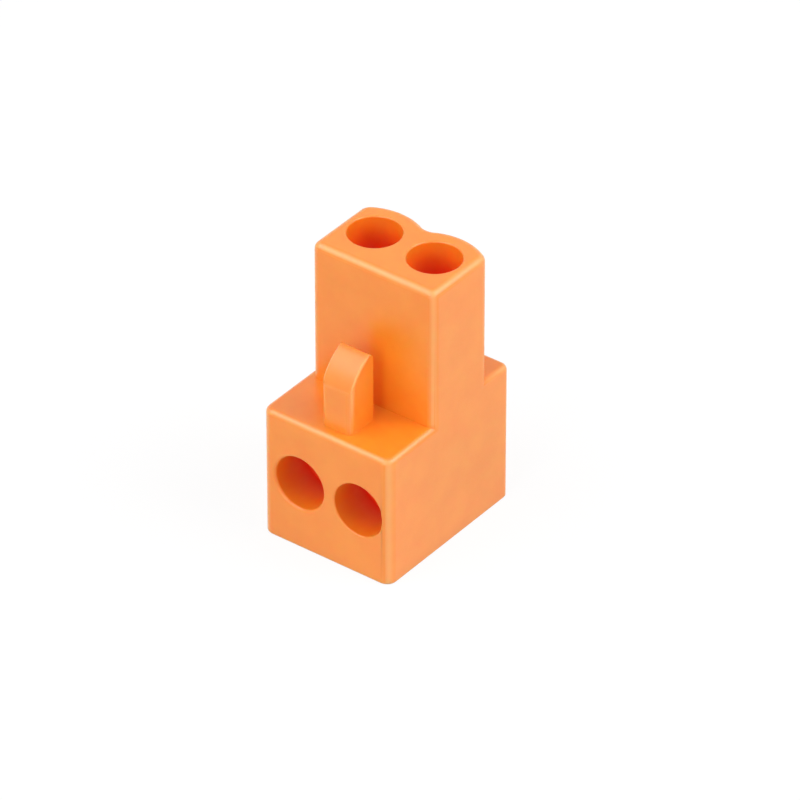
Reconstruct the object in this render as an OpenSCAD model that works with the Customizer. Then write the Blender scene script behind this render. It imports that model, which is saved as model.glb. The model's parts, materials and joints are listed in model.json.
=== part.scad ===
// Two-pole pluggable terminal block: a plug with screw clamps for a board header.
// The plug stands on its wire side with the mating nose up. The origin is the
// middle of the underside, +X runs across the poles, +Y to the back, +Z up.

/* [Poles] */
// Distance between the two pole axes
pitch = 5.08; // [4.9:0.01:5.6]
// From each pole axis to the nose's side
end_wall = 2.68; // [2.6:0.01:3.4]
// How far the block stands out past the nose on the left
side_step = 0.5; // [0.2:0.05:1]

/* [Housing block] */
// Height of the clamping screws above the underside
screw_axis_z = 5.35; // [4.6:0.05:6.5]
// Thickness over the clamp chamber, up to the front shelf
roof_t = 2.55; // [2.1:0.05:3.6]
// Height of the rear shelf over the front shelf
shelf_step = 0.7; // [0.3:0.05:1]
// Wall behind the clamp chamber
back_wall = 1.55; // [1.2:0.05:3]
// Rounding of the block's two upright front edges
corner_front_r = 0.8; // [0.55:0.05:1.1]
// Rounding of its two upright back edges
corner_back_r = 0.6; // [0.55:0.05:1.1]
// Rounding along the shelves
edge_top_r = 0.45; // [0.2:0.05:0.5]
// Rounding along the underside
edge_foot_r = 0.2; // [0.1:0.05:0.5]

/* [Nose] */
// Height of the nose over the front shelf
nose_h = 11.1; // [9:0.05:13]
// From the pin axes to the nose's front face
nose_front_reach = 3.62; // [2.8:0.02:4]
// From the pin axes to the crest of the lobes at the back
lobe_reach = 3.2; // [2.7:0.01:3.4]
// Radius of each lobe
lobe_r = 4.4; // [4:0.05:5]
// Rounding between each lobe and the nose's side
lobe_corner_r = 0.95; // [0.65:0.05:1.5]
// Radius of the valley between the lobes
valley_r = 1.5; // [1.2:0.05:1.8]
// How far the valley lies in from the crests
valley_depth = 0.61; // [0.45:0.01:0.75]
// Rounding of the nose's two upright front edges
nose_corner_r = 0.65; // [0.65:0.05:0.9]
// Rounding round the nose's top
nose_rim_r = 0.6; // [0.2:0.05:0.6]
// Diameter of the round mouths that the header's pins enter
pin_mouth_d = 3.84; // [3.7:0.02:4.2]
// Depth of those mouths
pin_mouth_depth = 2.8; // [2:0.1:4]

/* [Latch finger] */
// Width of the finger on the front shelf
finger_w = 2.54; // [2:0.02:5]
// From the front face to the finger
finger_front = 0.9; // [0.5:0.01:1.6]
// Thickness of the finger at its foot
finger_t = 2.5; // [1.6:0.01:2.9]
// Height of its upright front over the shelf
finger_straight_h = 3.2; // [2:0.1:5]
// Radius of the lead-in curve above that front
finger_tip_r = 4; // [3.2:0.05:4.5]
// How far that curve's circle stands out past the front
finger_tip_set = 0.2; // [0.1:0.05:0.5]
// Rounding of the edge between its curve and its back
finger_crown_r = 0.4; // [0.1:0.05:0.5]
// Rounding of the finger's upright front edges
finger_edge_r = 0.45; // [0.2:0.05:0.6]
// Rounding of the side edges of its lead-in curve
finger_lead_r = 0.15; // [0.1:0.05:0.5]

/* [Screw] */
// Diameter of the round holes that let the screwdriver in
driver_hole_d = 4.1; // [3.8:0.05:4.3]
// Depth of the screw heads below the front face
driver_hole_depth = 3.3; // [3:0.05:4.5]
// Diameter of the slotted head
head_d = 3.5; // [3.2:0.05:3.6]
// Height of the head
head_h = 1.1; // [0.9:0.05:1.6]
// Diameter over the thread
thread_d = 3; // [2.4:0.1:3.1]
// Bevel round the top of the head
head_bevel = 0.15; // [0.05:0.05:0.3]
// Length of the bevel at the screw's tip
tip_bevel = 0.35; // [0.2:0.05:0.5]
// Width of the driver slot
slot_w = 0.7; // [0.5:0.05:0.9]
// Depth of the driver slot
slot_depth = 0.55; // [0.4:0.05:0.7]

/* [Clamping yoke] */
// Travel of the yoke between open and closed
clamp_travel = 2.4; // [1.8:0.1:2.8]
// Width of the yoke across the pole
yoke_w = 4.1; // [3.9:0.05:4.2]
// Length of the yoke along the wire
yoke_len = 4.8; // [4:0.1:5.4]
// Thickness of its two side walls
yoke_side_t = 0.55; // [0.4:0.05:0.65]
// Thickness of the threaded wall
yoke_screw_t = 1.1; // [0.9:0.05:1.6]
// Thickness of the wall that pulls the wire up
yoke_press_t = 0.8; // [0.6:0.05:1.2]
// Rounding of the yoke's bent corners
yoke_bend_r = 0.5; // [0.3:0.05:0.6]

/* [Contact] */
// Thickness of the contact's clamping bar
bar_t = 0.6; // [0.5:0.05:0.9]
// Width of the bar inside the yoke
bar_w = 2.8; // [2.4:0.05:2.85]
// How far the bar stands out of the yoke towards the wire
bar_overhang = 0.6; // [0.3:0.1:1]
// Width of the fork in the nose
fork_w = 2.5; // [2.2:0.05:2.5]
// From the middle of the bar back to the pin axis
fork_offset = 0.16; // [0:0.01:0.75]
// Thickness of each fork arm
arm_t = 0.35; // [0.25:0.05:0.45]
// Outer width over the fork's two arms at their root
fork_root = 2.2; // [2:0.05:2.4]
// Free gap between the arms where they grip the pin
grip_gap = 0.76; // [0.5:0.02:0.9]
// Gap between the arms at their flared tips
flare_gap = 1.4; // [1.1:0.05:1.5]
// Distance of the grip below the tips
grip_drop = 1.2; // [0.8:0.1:2]
// From the floor of the round mouth down to the tips
tip_drop = 0.2; // [0.1:0.05:0.6]

/* [Fits] */
// Clearance of the yoke to the chamber and to the bar
yoke_gap = 0.1; // [0.05:0.01:0.15]
// Radial clearance of the screw in its seat and thread
screw_gap = 0.05; // [0.03:0.01:0.08]
// Clearance between the screw's tip and the bar
tip_gap = 0.05; // [0.02:0.01:0.1]
// Clearance of the fork in its cavity
fork_gap = 0.03; // [0.02:0.01:0.06]
// Lead-in bevel round the wire openings
mouth_bevel = 0.15; // [0.05:0.05:0.25]

/* [Hidden] */
smooth = 64;
eps = 0.02;          // overlap of pieces that are joined or cut
past = 1;            // how far a cut runs out of its piece
far = 40;            // longer than the whole plug

left = -1;
right = 1;

// Across the poles
nose_side = pitch / 2 + end_wall;
block_left = -nose_side - side_step;
chamber_w = yoke_w + 2 * yoke_gap;

// From the front face to the back, as distances from the front face
head_under = driver_hole_depth + head_h;
yoke_open = head_under + yoke_gap + clamp_travel;
bar_front = yoke_open + yoke_screw_t + yoke_gap;
bar_back = bar_front + bar_t;
press_face = bar_back + yoke_gap + clamp_travel;
chamber_back = press_face + yoke_press_t + yoke_gap;
depth = chamber_back + back_wall;
pin_axis = bar_front + bar_t / 2 + fork_offset;
nose_front = pin_axis - nose_front_reach;
finger_back = finger_front + finger_t;
lobe_axis = pin_axis + lobe_reach - lobe_r;
valley_axis = pin_axis + lobe_reach - valley_depth + valley_r;

// Where the rounding between a lobe and the nose's side has its axis
lobe_corner_x = nose_side - lobe_corner_r;
lobe_corner_y = lobe_axis
              + sqrt(pow(lobe_r - lobe_corner_r, 2) - pow(lobe_corner_x - pitch / 2, 2));

// Half width of the valley, out to where its arc runs into the lobes
valley_half = pitch / 2 * (1 - lobe_r / norm([pitch / 2, valley_axis - lobe_axis]));

// Heights
yoke_top = screw_axis_z + yoke_len / 2;
yoke_foot = screw_axis_z - yoke_len / 2;
chamber_top = yoke_top + yoke_gap;
front_shelf = chamber_top + roof_t;
rear_shelf = front_shelf + shelf_step;
height = front_shelf + nose_h;
cavity_top = height - pin_mouth_depth;
cavity_w = fork_w + 2 * fork_gap;
bar_foot = yoke_foot - bar_overhang;
fork_foot = chamber_top + 2 * bar_t;
fork_tip = cavity_top - tip_drop;
fork_grip = fork_tip - grip_drop;

// Moves a piece from the middle of the poles and the front face into the part's frame
module from_front() {
    translate([side_step / 2, -depth / 2, 0]) children();
}

// Turns a profile drawn in depth and height into a slab between two places across
module across(x0, x1) {
    translate([x0, 0, 0]) rotate([90, 0, 90]) linear_extrude(x1 - x0) children();
}

// Turns a profile drawn in width and height into a slab from one depth to another
module along(y0, y1) {
    translate([0, y1, 0]) rotate([90, 0, 0]) linear_extrude(y1 - y0) children();
}

// Turns a profile of width 2 r round its middle into a post with a rounded rim
module post(r) {
    rotate_extrude($fn = smooth) intersection() {
        square([r, far]);
        children();
    }
}

// Rectangle from one corner to the other with all four corners rounded
module round_rect(x0, y0, x1, y1, r) {
    translate([x0 + r, y0]) square([x1 - x0 - 2 * r, y1 - y0]);
    translate([x0, y0 + r]) square([x1 - x0, y1 - y0 - 2 * r]);
    for (x = [x0 + r, x1 - r], y = [y0 + r, y1 - r])
        translate([x, y]) circle(r, $fn = smooth);
}

// Upright section with its two upper corners rounded
module crowned(x0, x1, z0, z1, r) {
    translate([x0, z0]) square([x1 - x0, z1 - r - z0]);
    translate([x0 + r, z0]) square([x1 - x0 - 2 * r, z1 - z0]);
    for (x = [x0 + r, x1 - r])
        translate([x, z1 - r]) circle(r, $fn = smooth);
}

// Section of the block: crowned at the shelf, a smaller rounding at the underside
module block_section(x0, x1, h) {
    crowned(x0, x1, edge_foot_r, h, edge_top_r);
    translate([x0 + edge_foot_r, 0])
        square([x1 - x0 - 2 * edge_foot_r, 2 * edge_foot_r]);
    for (x = [x0 + edge_foot_r, x1 - edge_foot_r])
        translate([x, edge_foot_r]) circle(edge_foot_r, $fn = smooth);
}

// Section of the nose, its foot inside the block
module nose_section(x0, x1) {
    crowned(x0, x1, chamber_top, height, nose_rim_r);
}

// Block on the underside: a post at each upright edge and slabs between the posts
module soft_block(y0, y1, h) {
    for (end = [[y0 + corner_front_r, corner_front_r], [y1 - corner_back_r, corner_back_r]]) {
        for (x = [block_left + end[1], nose_side - end[1]])
            translate([x, end[0], 0]) post(end[1]) block_section(-end[1], end[1], h);
        across(block_left + end[1], nose_side - end[1])
            block_section(end[0] - end[1], end[0] + end[1], h);
    }
    along(y0 + corner_front_r, y1 - corner_back_r) block_section(block_left, nose_side, h);
}

// Tool that cuts the valley and rounds its top rim
module valley_cutter() {
    rotate_extrude($fn = smooth) difference() {
        square([valley_r + nose_rim_r, height + eps]);
        translate([valley_r, -eps]) square([nose_rim_r + eps, height - nose_rim_r + eps]);
        translate([valley_r + nose_rim_r, height - nose_rim_r]) circle(nose_rim_r, $fn = smooth);
    }
}

// One lobe, from the web at its inner side to its rounded corner at the outer one
module lobe(side) {
    outwards = [side * (lobe_corner_x - pitch / 2), lobe_corner_y - lobe_axis];
    translate([side * pitch / 2, lobe_axis, 0]) intersection() {
        post(lobe_r) nose_section(-lobe_r, lobe_r);
        linear_extrude(far)
            polygon([[0, 0], far * outwards, [-side * far, far], [-side * far, 0]]);
    }
    translate([side * lobe_corner_x, lobe_corner_y, 0])
        post(lobe_corner_r) nose_section(-lobe_corner_r, lobe_corner_r);
}

// The nose: flat front and sides, two lobes at the back with a valley between them
module nose() {
    corner_y = nose_front + nose_corner_r;
    corner_x = nose_side - nose_corner_r;
    for (side = [left, right]) {
        translate([side * corner_x, corner_y, 0])
            post(nose_corner_r) nose_section(-nose_corner_r, nose_corner_r);
        lobe(side);
    }
    across(-corner_x, corner_x) nose_section(nose_front, corner_y + nose_corner_r);
    along(corner_y, lobe_corner_y) nose_section(-nose_side, nose_side);
    difference() {
        translate([-valley_half, lobe_axis, chamber_top])
            cube([2 * valley_half, lobe_r, height - chamber_top]);
        translate([0, valley_axis, 0]) valley_cutter();
    }
}

// Latch finger on the front shelf: an upright front, a lead-in curve and a crowned back
module finger() {
    bend_y = finger_front + finger_tip_r - finger_tip_set;
    bend_z = front_shelf + finger_straight_h
           - sqrt(pow(finger_tip_r, 2) - pow(finger_tip_r - finger_tip_set, 2));
    crown_y = finger_back - finger_crown_r;
    crown_z = bend_z + sqrt(pow(finger_tip_r - finger_crown_r, 2) - pow(bend_y - crown_y, 2));
    intersection() {
        translate([0, 0, front_shelf - edge_top_r]) linear_extrude(nose_h)
            round_rect(-finger_w / 2, finger_front, finger_w / 2, far, finger_edge_r);
        across(-far, far) {
            square([crown_y, height]);
            square([finger_back, crown_z]);
            translate([crown_y, crown_z]) circle(finger_crown_r, $fn = smooth);
        }
        union() {
            translate([-finger_w / 2, bend_y, bend_z]) rotate([0, 90, 0])
                post(finger_tip_r)
                    round_rect(-finger_tip_r, 0, finger_tip_r, finger_w, finger_lead_r);
            translate([-finger_w, 0, 0]) cube([2 * finger_w, far, bend_z]);
        }
    }
}

// Bevel round the mouth of a clamp chamber
module mouth_cut() {
    flare = past + mouth_bevel;
    half_w = chamber_w / 2;
    intersection() {
        along(0, depth) polygon([[-half_w - flare, -past], [half_w + flare, -past],
                                 [half_w, mouth_bevel], [-half_w, mouth_bevel]]);
        across(-far, far) polygon([[head_under - flare, -past], [chamber_back + flare, -past],
                             [chamber_back, mouth_bevel], [head_under, mouth_bevel]]);
    }
}

// Everything cut out of the housing for one pole
module pole_cuts() {
    // screwdriver hole and the narrower seat of the screw head
    translate([0, 0, screw_axis_z]) rotate([-90, 0, 0]) {
        translate([0, 0, -past])
            cylinder(h = driver_hole_depth + past, d = driver_hole_d, $fn = smooth);
        cylinder(h = head_under + eps, d = head_d + 2 * screw_gap, $fn = smooth);
    }
    // clamp chamber, open to the wire side
    translate([-chamber_w / 2, head_under, -past])
        cube([chamber_w, chamber_back - head_under, chamber_top + past]);
    mouth_cut();
    // cavity of the fork and the round mouth over it
    translate([-cavity_w / 2, pin_axis - cavity_w / 2, chamber_top - eps])
        cube([cavity_w, cavity_w, cavity_top - chamber_top + 2 * eps]);
    translate([0, pin_axis, cavity_top])
        cylinder(h = pin_mouth_depth + past, d = pin_mouth_d, $fn = smooth);
}

// One-piece moulded housing
module housing() {
    color("darkorange") from_front() difference() {
        union() {
            soft_block(0, depth, front_shelf);
            soft_block(pin_axis, depth, rear_shelf);
            nose();
            finger();
        }
        for (side = [left, right])
            translate([side * pitch / 2, 0, 0]) pole_cuts();
    }
}

// Outline of one sprung fork arm, in depth and height from the pin axis
module fork_arm(face) {
    root = fork_root / 2;
    grip = grip_gap / 2;
    flare = flare_gap / 2;
    polygon([for (p = [[root - arm_t, fork_foot], [grip, fork_grip], [flare, fork_tip],
                       [flare + arm_t, fork_tip], [grip + arm_t, fork_grip], [root, fork_foot]])
             [face * p[0], p[1]]]);
}

// Stamped contact: clamping bar below, sprung fork in the nose
module contact(side) {
    color("silver") from_front() translate([side * pitch / 2, 0, 0]) {
        // bar through the yoke, its shoulders under the chamber's roof
        translate([-bar_w / 2, bar_front, bar_foot])
            cube([bar_w, bar_t, chamber_top - bar_foot]);
        // neck and base of the fork
        translate([-fork_w / 2, bar_front, chamber_top - bar_t])
            cube([fork_w, bar_t, fork_foot - chamber_top + bar_t]);
        translate([-fork_w / 2, pin_axis - fork_root / 2, fork_foot - bar_t])
            cube([fork_w, fork_root, bar_t]);
        translate([0, pin_axis, 0]) across(-fork_w / 2, fork_w / 2) {
            fork_arm(-1);
            fork_arm(1);
        }
    }
}

// Clamping yoke: a bent steel frame round the bar, threaded at the front
module yoke(side) {
    color("lightsteelblue") from_front() translate([side * pitch / 2, 0, 0]) difference() {
        translate([0, 0, yoke_foot]) linear_extrude(yoke_len)
            round_rect(-yoke_w / 2, yoke_open, yoke_w / 2, press_face + yoke_press_t, yoke_bend_r);
        translate([-yoke_w / 2 + yoke_side_t, yoke_open + yoke_screw_t, yoke_foot - past])
            cube([yoke_w - 2 * yoke_side_t, press_face - yoke_open - yoke_screw_t,
                  yoke_len + 2 * past]);
        translate([0, yoke_open - past, screw_axis_z]) rotate([-90, 0, 0])
            cylinder(h = yoke_screw_t + 2 * past, d = thread_d + 2 * screw_gap, $fn = smooth);
    }
}

// Slotted clamping screw, its head in the seat and its tip against the bar
module screw(side) {
    shank = bar_front - tip_gap - driver_hole_depth;
    color("gainsboro") from_front() translate([side * pitch / 2, driver_hole_depth, screw_axis_z])
        rotate([-90, 0, 0]) difference() {
            rotate_extrude($fn = smooth)
                polygon([[0, 0], [head_d / 2 - head_bevel, 0], [head_d / 2, head_bevel],
                         [head_d / 2, head_h], [thread_d / 2, head_h],
                         [thread_d / 2, shank - tip_bevel], [thread_d / 2 - tip_bevel, shank],
                         [0, shank]]);
            translate([-slot_w / 2, -head_d, -past])
                cube([slot_w, 2 * head_d, slot_depth + past]);
        }
}

housing();
contact(left);  // contact_left
contact(right);  // contact_right
yoke(left);  // yoke_left
yoke(right);  // yoke_right
screw(left);  // screw_left
screw(right);  // screw_right
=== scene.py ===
"""Two-pole screw clamp plug: moulded finish, threads, plating and softened edges over the solids."""

import json
import math

import bmesh
import bpy
from mathutils import Matrix, Vector


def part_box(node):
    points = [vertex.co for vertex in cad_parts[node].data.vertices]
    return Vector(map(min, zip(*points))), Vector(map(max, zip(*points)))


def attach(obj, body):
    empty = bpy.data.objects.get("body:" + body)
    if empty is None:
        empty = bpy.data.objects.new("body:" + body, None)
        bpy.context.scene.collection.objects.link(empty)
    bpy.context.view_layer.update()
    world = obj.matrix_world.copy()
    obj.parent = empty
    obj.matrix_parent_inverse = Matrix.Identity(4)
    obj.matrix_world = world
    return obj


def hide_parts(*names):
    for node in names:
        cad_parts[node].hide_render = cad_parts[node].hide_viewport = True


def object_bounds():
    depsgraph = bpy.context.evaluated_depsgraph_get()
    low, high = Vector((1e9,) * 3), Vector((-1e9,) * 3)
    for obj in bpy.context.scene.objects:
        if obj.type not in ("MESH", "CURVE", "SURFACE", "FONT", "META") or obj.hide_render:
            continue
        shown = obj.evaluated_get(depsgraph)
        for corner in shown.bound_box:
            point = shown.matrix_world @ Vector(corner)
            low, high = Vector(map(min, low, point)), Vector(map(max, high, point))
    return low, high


MM = 0.001
SIDES = ("left", "right")

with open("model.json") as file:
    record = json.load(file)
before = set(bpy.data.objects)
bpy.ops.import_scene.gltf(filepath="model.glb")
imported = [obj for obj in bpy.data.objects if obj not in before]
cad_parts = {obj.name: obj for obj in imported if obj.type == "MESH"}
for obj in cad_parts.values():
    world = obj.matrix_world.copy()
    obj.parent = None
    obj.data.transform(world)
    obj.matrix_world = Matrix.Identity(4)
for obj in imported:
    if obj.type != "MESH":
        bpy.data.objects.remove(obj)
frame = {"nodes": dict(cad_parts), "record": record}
cad_low, cad_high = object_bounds()
CENTRE = (cad_low + cad_high) / 2


def direction(azimuth, elevation):
    """Unit vector away from the plug. Azimuth 0 points to its front, a quarter turn to its right."""
    return Vector((math.sin(azimuth) * math.cos(elevation),
                   -math.cos(azimuth) * math.cos(elevation),
                   math.sin(elevation)))


def new_object(name, data):
    """Object with this data, in the scene."""
    made = bpy.data.objects.new(name, data)
    bpy.context.scene.collection.objects.link(made)
    return made


# ---- Camera ----------------------------------------------------------------

AZIMUTH = math.radians(37.30)
ELEVATION = math.radians(35.25)
DISTANCE = 512.6 * MM
LENS = 338.4
SENSOR_WIDTH = 36
CLIP_NEAR = 0.05
CLIP_FAR = 10
AIM = CENTRE + Vector((1.125, 0.077, -0.804)) * MM


def make_camera():
    """Long lens, looking down on the front corner of the plug."""
    back = direction(AZIMUTH, ELEVATION)
    right = Vector((math.cos(AZIMUTH), math.sin(AZIMUTH), 0))
    up = back.cross(right)
    data = bpy.data.cameras.new("camera")
    data.lens = LENS
    data.sensor_width = SENSOR_WIDTH
    data.clip_start = CLIP_NEAR
    data.clip_end = CLIP_FAR
    camera = new_object("camera", data)
    turn = Matrix((right, up, back)).transposed().to_4x4()
    camera.matrix_world = Matrix.Translation(AIM + DISTANCE * back) @ turn
    bpy.context.scene.camera = camera


make_camera()


# ---- Shader nodes ----------------------------------------------------------

# Places of the colour sockets on a Mix node.
MIX_SHARE = 0
MIX_FIRST = 6
MIX_SECOND = 7
MIX_RESULT = 2

# Nearly all of a noise pattern lies between these values.
NOISE_RANGE = (0.3, 0.7)


def hex_linear(text):
    """Linear RGBA of an sRGB hex colour."""
    parts = [int(text[i:i + 2], 16) / 255 for i in (1, 3, 5)]
    return tuple(c / 12.92 if c <= 0.04045 else ((c + 0.055) / 1.055) ** 2.4 for c in parts) + (1,)


def grey(value):
    """Linear RGBA of a neutral grey."""
    return (value, value, value, 1)


def empty_tree(owner):
    """The emptied node tree of a material or world."""
    owner.use_nodes = True
    owner.node_tree.nodes.clear()
    return owner.node_tree


def add(tree, kind, settings=None):
    """Adds a node. Each setting is a property, a socket's value, or the output that feeds the socket."""
    made = tree.nodes.new("ShaderNode" + kind)
    for name, value in (settings or {}).items():
        if isinstance(name, str) and hasattr(made, name):
            setattr(made, name, value)
        elif isinstance(value, bpy.types.NodeSocket):
            tree.links.new(value, made.inputs[name])
        else:
            made.inputs[name].default_value = value
    return made


def calculate(tree, operation, *values):
    """Result of a maths operation on outputs or plain numbers."""
    return add(tree, "Math", {"operation": operation, **dict(enumerate(values))}).outputs[0]


def mix(tree, share, first, second):
    """Colour that goes from the first to the second as the share goes from 0 to 1."""
    made = add(tree, "Mix", {"data_type": "RGBA", MIX_SHARE: share, MIX_FIRST: first, MIX_SECOND: second})
    return made.outputs[MIX_RESULT]


def spread(tree, value, source, target):
    """Maps a value from the source range to the target range and no further."""
    return add(tree, "MapRange", {"Value": value, "From Min": source[0], "From Max": source[1],
                                  "To Min": target[0], "To Max": target[1]}).outputs[0]


def noise(tree, place, size_mm, detail, roughness=0.5):
    """Pattern of soft spots that lie about this many millimetres apart."""
    return add(tree, "TexNoise", {"Vector": place, "Scale": 1 / (size_mm * MM), "Detail": detail,
                                  "Roughness": roughness}).outputs[0]


def bumps(tree, height, strength, depth_mm, **under):
    """Normal of a height pattern, on top of the Normal given for what lies under it."""
    return add(tree, "Bump", {"Height": height, "Strength": strength, "Distance": depth_mm * MM,
                              **under}).outputs[0]


def painted(tree, name):
    """Value that the piece's vertices carry under this name."""
    made = add(tree, "Attribute", {"attribute_type": "GEOMETRY", "attribute_name": name})
    return made.outputs["Fac"]


def dress(tree, settings):
    """Ends a material's tree in a Principled shader with these settings."""
    shader = add(tree, "BsdfPrincipled", settings)
    add(tree, "OutputMaterial", {"Surface": shader.outputs["BSDF"]})


# ---- Materials -------------------------------------------------------------

def moulded_polyester():
    """Orange polyester (PBT), injection moulded in a finely eroded tool: an even satin skin under a
    thin resin-rich film, with faint flow clouding and a little light carried under the edges. The
    colour is painted deeper and redder down the bores as painted shade, and paler on the roundings
    as a painted highlight."""
    material = bpy.data.materials.new("pbt_orange_moulded_satin")
    tree = empty_tree(material)
    place = add(tree, "TexCoord").outputs["Object"]
    clouds = noise(tree, place, size_mm=2.6, detail=3.0, roughness=0.55)
    flow = spread(tree, clouds, (0.35, 0.65), (0.0, 1.0))
    skin_colour = mix(tree, flow, hex_linear("#F68C14"), hex_linear("#FA921C"))
    # Painted shade: the colour is mixed toward a deeper red #FF3800 down the bores, where little light
    # reaches.
    depth = painted(tree, "bore_depth")
    shaded_down_bores = mix(tree, depth, skin_colour, hex_linear("#FF3800"))
    # Painted highlight: the outward roundings are mixed toward a pale #FFB86E, where the lamps' highlight
    # falls on them.
    edge_highlight_share = calculate(tree, "MULTIPLY", painted(tree, "painted_edge_highlight"), 0.6)
    # The eroded grain is about 0.03 mm; it is drawn at 0.1 mm so that it still shows as satin.
    grain = noise(tree, place, size_mm=0.1, detail=2.0, roughness=0.6)
    sinks = bumps(tree, noise(tree, place, size_mm=4.0, detail=1.0), strength=0.25, depth_mm=0.05)
    dress(tree, {
        "Base Color": mix(tree, edge_highlight_share, shaded_down_bores, hex_linear("#FFB86E")),
        "Roughness": spread(tree, grain, NOISE_RANGE, (0.38, 0.5)),
        "Normal": bumps(tree, grain, strength=0.35, depth_mm=0.006, Normal=sinks),
        "IOR": 1.58,
        "Coat Weight": spread(tree, depth, (0.0, 1.0), (0.5, 0.0)),
        "Coat Roughness": 0.35,
        "Subsurface Weight": 0.6,
        "Subsurface Radius": (1.0, 0.14, 0.03),
        "Subsurface Scale": 0.7 * MM,
    })
    return material


def plated_steel(name, dark, light, roughness, grain_mm, stretch):
    """Zinc-plated steel: soft grey metal, its plating slightly clouded over the marks of its making,
    which run along the axes whose stretch is below 1."""
    material = bpy.data.materials.new(name)
    tree = empty_tree(material)
    place = add(tree, "TexCoord").outputs["Object"]
    along = add(tree, "Mapping", {"Vector": place, "Scale": stretch}).outputs[0]
    marks = noise(tree, along, grain_mm, detail=3.0, roughness=0.6)
    clouds = noise(tree, place, size_mm=0.9, detail=3.0, roughness=0.6)
    dress(tree, {
        "Base Color": mix(tree, clouds, hex_linear(dark), hex_linear(light)),
        "Roughness": spread(tree, marks, NOISE_RANGE, (roughness - 0.07, roughness + 0.09)),
        "Normal": bumps(tree, marks, strength=0.4, depth_mm=0.008),
        "Metallic": 1.0,
    })
    return material


def tinned_bronze():
    """Tin-plated bronze strip, stamped: matt white tin on the rolled faces, warm bronze on cut edges."""
    material = bpy.data.materials.new("tinned_bronze_stamped")
    tree = empty_tree(material)
    coordinates = add(tree, "TexCoord")
    facing = add(tree, "SeparateXYZ", {"Vector": coordinates.outputs["Normal"]})
    sideways = calculate(tree, "ABSOLUTE", facing.outputs["X"])
    cut_edge = spread(tree, sideways, (0.8, 0.95), (0.0, 1.0))
    smears = noise(tree, coordinates.outputs["Object"], size_mm=0.35, detail=4.0, roughness=0.65)
    bare = calculate(tree, "MULTIPLY", cut_edge, smears)
    dress(tree, {
        "Base Color": mix(tree, bare, hex_linear("#D9D7D0"), hex_linear("#C08A5A")),
        "Roughness": spread(tree, smears, NOISE_RANGE, (0.32, 0.5)),
        "Normal": bumps(tree, smears, strength=0.3, depth_mm=0.006),
        "Metallic": 1.0,
    })
    return material


PLASTIC = moulded_polyester()
TIN = tinned_bronze()
BENT_STEEL = plated_steel("zinc_plated_strip_bent", "#A9AFB4", "#C9CED2",
                          roughness=0.34, grain_mm=0.06, stretch=(0.15, 0.15, 1))
TURNED_STEEL = plated_steel("zinc_plated_screw_rolled", "#B6B5AC", "#D4D3CA",
                            roughness=0.28, grain_mm=0.07, stretch=(1, 0.2, 1))


# ---- Making pieces ---------------------------------------------------------

SAME_POINT = 0.0005 * MM
SAME_PLANE = math.radians(0.4)
CRISP_EDGE = math.radians(40)
SHADED_EDGE = math.radians(28)


def merged_copy(node):
    """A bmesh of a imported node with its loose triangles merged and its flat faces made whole."""
    bm = bmesh.new()
    bm.from_mesh(frame["nodes"][node].data)
    bmesh.ops.remove_doubles(bm, verts=bm.verts, dist=SAME_POINT)
    bmesh.ops.dissolve_limit(bm, angle_limit=SAME_PLANE, verts=bm.verts, edges=bm.edges,
                             delimit={"NORMAL"})
    return bm


def crisp_edges(bm):
    """Edges whose two faces meet at more than the crisp angle."""
    return [e for e in bm.edges if e.is_manifold and e.calc_face_angle(0) > CRISP_EDGE]


def soften(bm, edges, width, segments=2):
    """Rounds these edges by this width."""
    bmesh.ops.bevel(bm, geom=edges, offset=width, offset_type="OFFSET", affect="EDGES",
                    segments=segments, profile=0.5, material=-1, clamp_overlap=True)


def cut(bm, point, normal, clear_outer=False):
    """Cuts everything at a plane and, if asked, clears the side that its normal points to."""
    bmesh.ops.bisect_plane(bm, geom=bm.verts[:] + bm.edges[:] + bm.faces[:],
                           plane_co=point, plane_no=normal, clear_outer=clear_outer)


def finish_piece(bm, name, material, body, slot, *nodes):
    """Turns a bmesh into a smooth-shaded piece that rides on a body and stands for its nodes."""
    mesh = bpy.data.meshes.new(name)
    bm.to_mesh(mesh)
    bm.free()
    piece = new_object(name, mesh)
    mesh.materials.append(material)
    mesh.shade_smooth()
    mesh.set_sharp_from_angle(angle=SHADED_EDGE)
    piece.modifiers.new("even_shading", "WEIGHTED_NORMAL").keep_sharp = True
    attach(piece, body)
    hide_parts(*nodes)


# ---- Housing ---------------------------------------------------------------

# Reach and sharpness of the painted highlight on the outward roundings.
HIGHLIGHT_RADIUS = 1.2 * MM
HIGHLIGHT_CONTRAST = 4.5
SLIGHT_TURN = math.radians(2)
FLAT_WIDTH = 0.3 * MM


def mark_edge_highlight(bm):
    """Marks the vertices on small outward roundings for a painted highlight, strongest half-way between the
    faces they join.
    """
    layer = bm.verts.layers.float.new("painted_edge_highlight")
    bm.normal_update()
    for e in bm.edges:
        if not e.is_manifold or not e.is_convex:
            continue
        angle = e.calc_face_angle()
        width = sum(f.calc_area() for f in e.link_faces) / 2 / e.calc_length()
        if SLIGHT_TURN < angle < CRISP_EDGE and angle * HIGHLIGHT_RADIUS > width:
            for v in e.verts:
                v[layer] = min(1, HIGHLIGHT_CONTRAST * (1 - max(abs(c) for c in v.normal)))
    for e in bm.edges:
        if not e.is_convex and e.calc_face_angle(0) > SLIGHT_TURN:
            for v in e.verts:
                v[layer] = 0
    for f in bm.faces:
        if f.calc_area() / max(e.calc_length() for e in f.edges) > FLAT_WIDTH:
            for v in f.verts:
                v[layer] = 0


def mount(name):
    """The record's entry of this mount."""
    return next(m for m in frame["record"]["mounts"] if m["name"] == name)


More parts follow.
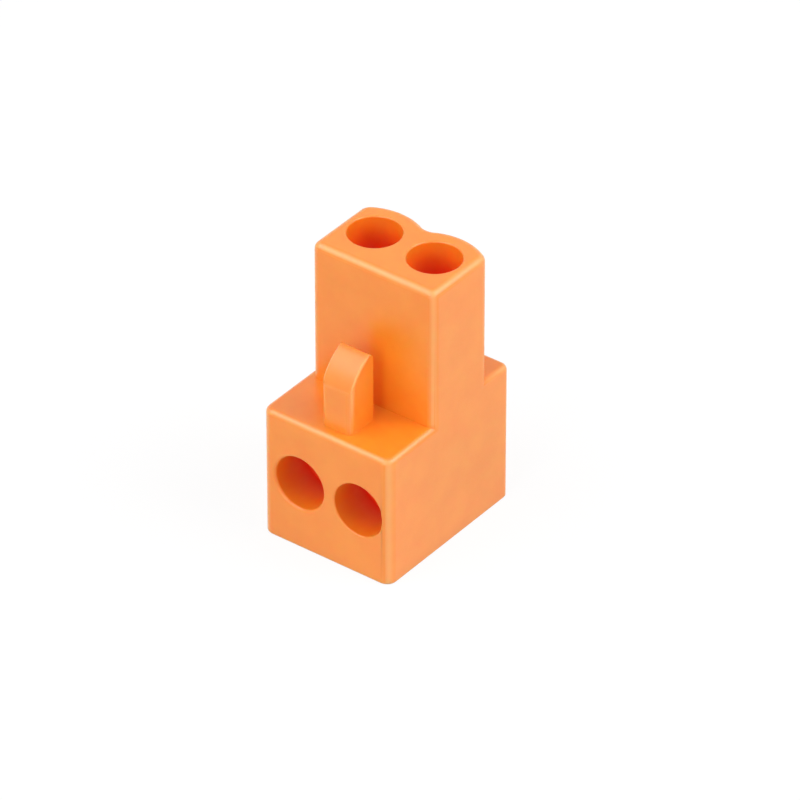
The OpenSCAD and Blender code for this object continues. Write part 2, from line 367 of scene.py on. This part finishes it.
def bores():
    """Mouth centre, outward axis and radius of each round bore."""
    for m in frame["record"]["mounts"]:
        if m["kind"] == "bore":
            way = Vector(m["axis"])
            mouth = Vector(m["pos_m"]) + way * m["dims"]["length_mm"] / 2 * MM
            yield mouth, way, m["dims"]["r_mm"] * MM


BORE_RIM = 0.25 * MM
RIM_SEGMENTS = 4
ON_PLANE = 0.01 * MM
ON_CIRCLE = 0.02 * MM


def round_rims(bm):
    """Rounds the mouths of the bores as their drafted core pins leave them."""
    for mouth, way, radius in bores():
        at_rim = {v for v in bm.verts
                  if abs((v.co - mouth).dot(way)) < ON_PLANE
                  and abs((v.co - mouth).length - radius) < ON_CIRCLE}
        rim = [e for e in bm.edges if set(e.verts) <= at_rim]
        soften(bm, rim, BORE_RIM, segments=RIM_SEGMENTS)


# Depth at which the painted shade down the bores is full.
DEEP = 3.0 * MM


def mark_bores(bm):
    """Marks how deep the vertices inside the round bores lie, from 0 at the mouth to 1; the material paints
    shade down the bores by it.
    """
    layer = bm.verts.layers.float.new("bore_depth")
    for mouth, way, radius in bores():
        for v in bm.verts:
            away = v.co - mouth
            depth = -away.dot(way)
            if depth > 0 and (away + depth * way).length < radius + ON_CIRCLE:
                v[layer] = min(1, depth / DEEP)


FOOT_RING = 0.3 * MM
CRISP_SOFTNESS = 0.06 * MM


def make_housing():
    """The moulding, its hole rims and other crisp edges slightly rounded as a tool leaves them.

    A cut just above the nose's foot lets the painted highlight on its upright edges fade out there,
    and not over their whole length."""
    bm = merged_copy("housing")
    cut(bm, (0, 0, mount("header_nose")["pos_m"][2] + FOOT_RING), (0, 0, 1))
    mark_edge_highlight(bm)
    round_rims(bm)
    soften(bm, crisp_edges(bm), CRISP_SOFTNESS)
    mark_bores(bm)
    finish_piece(bm, "housing_moulding", PLASTIC, "housing", "moulded_polyester", "housing")


# ---- Contacts, yokes and screws --------------------------------------------

STAMPED_EDGE = 0.04 * MM


def make_stamped(node, name, material, body, slot):
    """Stamped contact or bent yoke with its sheared edges softened."""
    bm = merged_copy(node)
    soften(bm, crisp_edges(bm), STAMPED_EDGE)
    finish_piece(bm, name, material, body, slot, node)


THREAD_PITCH = 0.5 * MM
THREAD_CREST = 1.48 * MM
THREAD_ROOT = 1.2 * MM
# Radius at each share of the pitch.
THREAD_OUTLINE = ((THREAD_ROOT, 0.0), (THREAD_ROOT, 0.12), (THREAD_CREST, 0.44),
                  (THREAD_CREST, 0.56), (THREAD_ROOT, 0.88), (THREAD_ROOT, 1.0))
THREAD_STEPS = 40
THREAD_SAME_POINT = 0.002 * MM
SPARE_TURNS = 2
TIP_TAPER = 0.35 * MM


def threaded_rod(start, end):
    """Closed rod along +Y from start to end with a right-hand thread and a tapered tip.

    The thread is wound with spare turns at both ends, which the end planes cut away."""
    bm = bmesh.new()
    verts = [bm.verts.new((radius, start + (share - SPARE_TURNS) * THREAD_PITCH, 0))
             for radius, share in THREAD_OUTLINE]
    edges = [bm.edges.new(pair) for pair in zip(verts, verts[1:])]
    turns = math.ceil((end - start) / THREAD_PITCH) + 2 * SPARE_TURNS
    bmesh.ops.spin(bm, geom=verts + edges, cent=(0, 0, 0), axis=(0, 1, 0),
                   dvec=(0, THREAD_PITCH / THREAD_STEPS, 0), angle=2 * math.pi * turns,
                   steps=THREAD_STEPS * turns, use_merge=False, use_duplicate=False)
    bmesh.ops.remove_doubles(bm, verts=bm.verts, dist=THREAD_SAME_POINT)
    for place, way in ((start, -1), (end, 1)):
        cut(bm, (0, place, 0), (0, way, 0), clear_outer=True)
        rim = [e for e in bm.edges if e.is_boundary and abs(e.verts[0].co.y - place) < ON_PLANE]
        bmesh.ops.contextual_create(bm, geom=rim)
    for v in bm.verts:
        allowed = THREAD_CREST - max(0, v.co.y - (end - TIP_TAPER))
        radius = math.hypot(v.co.x, v.co.z)
        if radius > allowed:
            v.co.x *= allowed / radius
            v.co.z *= allowed / radius
    bmesh.ops.recalc_face_normals(bm, faces=bm.faces)
    return bm


HEAD_HEIGHT = 1.1 * MM
NECK = 0.25 * MM


def make_screw(side):
    """Slotted clamping screw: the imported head, and a real rolled thread for its plain shank."""
    node = "screw_" + side
    low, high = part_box(node)
    axis = Vector(((low.x + high.x) / 2, 0, (low.z + high.z) / 2))
    neck_end = low.y + HEAD_HEIGHT + NECK
    bm = merged_copy(node)
    soften(bm, crisp_edges(bm), STAMPED_EDGE)
    cut(bm, (0, neck_end, 0), (0, 1, 0), clear_outer=True)
    bmesh.ops.contextual_create(bm, geom=[e for e in bm.edges if e.is_boundary])
    rod = threaded_rod(neck_end - NECK / 2, high.y)
    rod_mesh = bpy.data.meshes.new("rod")
    rod.to_mesh(rod_mesh)
    rod.free()
    rod_mesh.transform(Matrix.Translation(axis))
    bm.from_mesh(rod_mesh)
    bpy.data.meshes.remove(rod_mesh)
    finish_piece(bm, "clamp_screw_" + side, TURNED_STEEL, node, "plated_screw_steel", node)


make_housing()
for side in SIDES:
    make_stamped("contact_" + side, "fork_contact_" + side, TIN, "housing", "tinned_bronze")
    make_stamped("yoke_" + side, "clamp_yoke_" + side, BENT_STEEL, "yoke_" + side, "zinc_plated_steel")
    make_screw(side)


# ---- Stage and light -------------------------------------------------------

FLOOR_SIZE = 4.0
FLOOR_GAP = 0.01 * MM
FLOOR_BOUNCE = 0.85
FLOOR_SHADED = 0.12
FLOOR_GLOW = 0.89
FLOOR_OPEN_WITHIN = 0.4 * MM
SURROUND_FILL = 0.33


def seen(tree, path):
    """1 on the way of camera rays, also mirrored or refracted ones, and 0 for other light."""
    straight_or_mirrored = calculate(tree, "MAXIMUM", path.outputs["Is Camera Ray"],
                                     path.outputs["Is Glossy Ray"])
    return calculate(tree, "MAXIMUM", straight_or_mirrored, path.outputs["Is Transmission Ray"])


def make_floor():
    """Pale table that shows white, with the plug's soft shadow. It lets light pass close under the plug."""
    material = bpy.data.materials.new("pale_table")
    tree = empty_tree(material)
    path = add(tree, "LightPath")
    bounce = add(tree, "BsdfDiffuse", {"Color": grey(FLOOR_BOUNCE)})
    shaded = add(tree, "BsdfDiffuse", {"Color": grey(FLOOR_SHADED)})
    glow = add(tree, "Emission", {"Color": grey(1), "Strength": FLOOR_GLOW})
    white = add(tree, "AddShader", {0: shaded.outputs[0], 1: glow.outputs[0]})
    shown = add(tree, "MixShader", {0: seen(tree, path), 1: bounce.outputs[0], 2: white.outputs[0]})
    near = calculate(tree, "LESS_THAN", path.outputs["Ray Length"], FLOOR_OPEN_WITHIN)
    below = add(tree, "NewGeometry").outputs["Backfacing"]
    near_or_below = calculate(tree, "MAXIMUM", near, below)
    open_way = calculate(tree, "MAXIMUM", near_or_below, path.outputs["Is Shadow Ray"])
    clear = add(tree, "BsdfTransparent")
    table = add(tree, "MixShader", {0: open_way, 1: shown.outputs[0], 2: clear.outputs[0]})
    add(tree, "OutputMaterial", {"Surface": table.outputs[0]})
    bm = bmesh.new()
    bmesh.ops.create_grid(bm, x_segments=1, y_segments=1, size=FLOOR_SIZE / 2,
                          matrix=Matrix.Translation((0, 0, cad_low.z - FLOOR_GAP)))
    mesh = bpy.data.meshes.new("table")
    bm.to_mesh(mesh)
    bm.free()
    mesh.materials.append(material)
    floor = new_object("table", mesh)


def make_world():
    """Even pale surround, pure white where it is seen directly."""
    world = bpy.data.worlds.new("surround")
    bpy.context.scene.world = world
    tree = empty_tree(world)
    path = add(tree, "LightPath")
    strength = spread(tree, seen(tree, path), (0.0, 1.0), (SURROUND_FILL, 1.0))
    background = add(tree, "Background", {"Color": grey(1), "Strength": strength})
    add(tree, "OutputWorld", {"Surface": background.outputs[0]})


def make_lamp(name, azimuth, elevation, distance, size, watts):
    """Square softbox aimed at the plug. Azimuth 0 stands in front of it, 90 at its right."""
    away = direction(math.radians(azimuth), math.radians(elevation))
    data = bpy.data.lights.new(name, "AREA")
    data.shape = "SQUARE"
    data.size = size
    data.energy = watts
    lamp = new_object(name, data)
    lamp.location = CENTRE + away * distance
    lamp.rotation_mode = "QUATERNION"
    lamp.rotation_quaternion = away.to_track_quat("Z", "Y")


make_floor()
make_world()
make_lamp("left_softbox", azimuth=-35, elevation=52, distance=0.35, size=0.27, watts=0.58)
make_lamp("right_softbox", azimuth=112, elevation=42, distance=0.35, size=0.25, watts=0.78)
make_lamp("front_softbox", azimuth=10, elevation=22, distance=0.45, size=0.14, watts=0.42)
bpy.context.scene.view_settings.view_transform = "Standard"
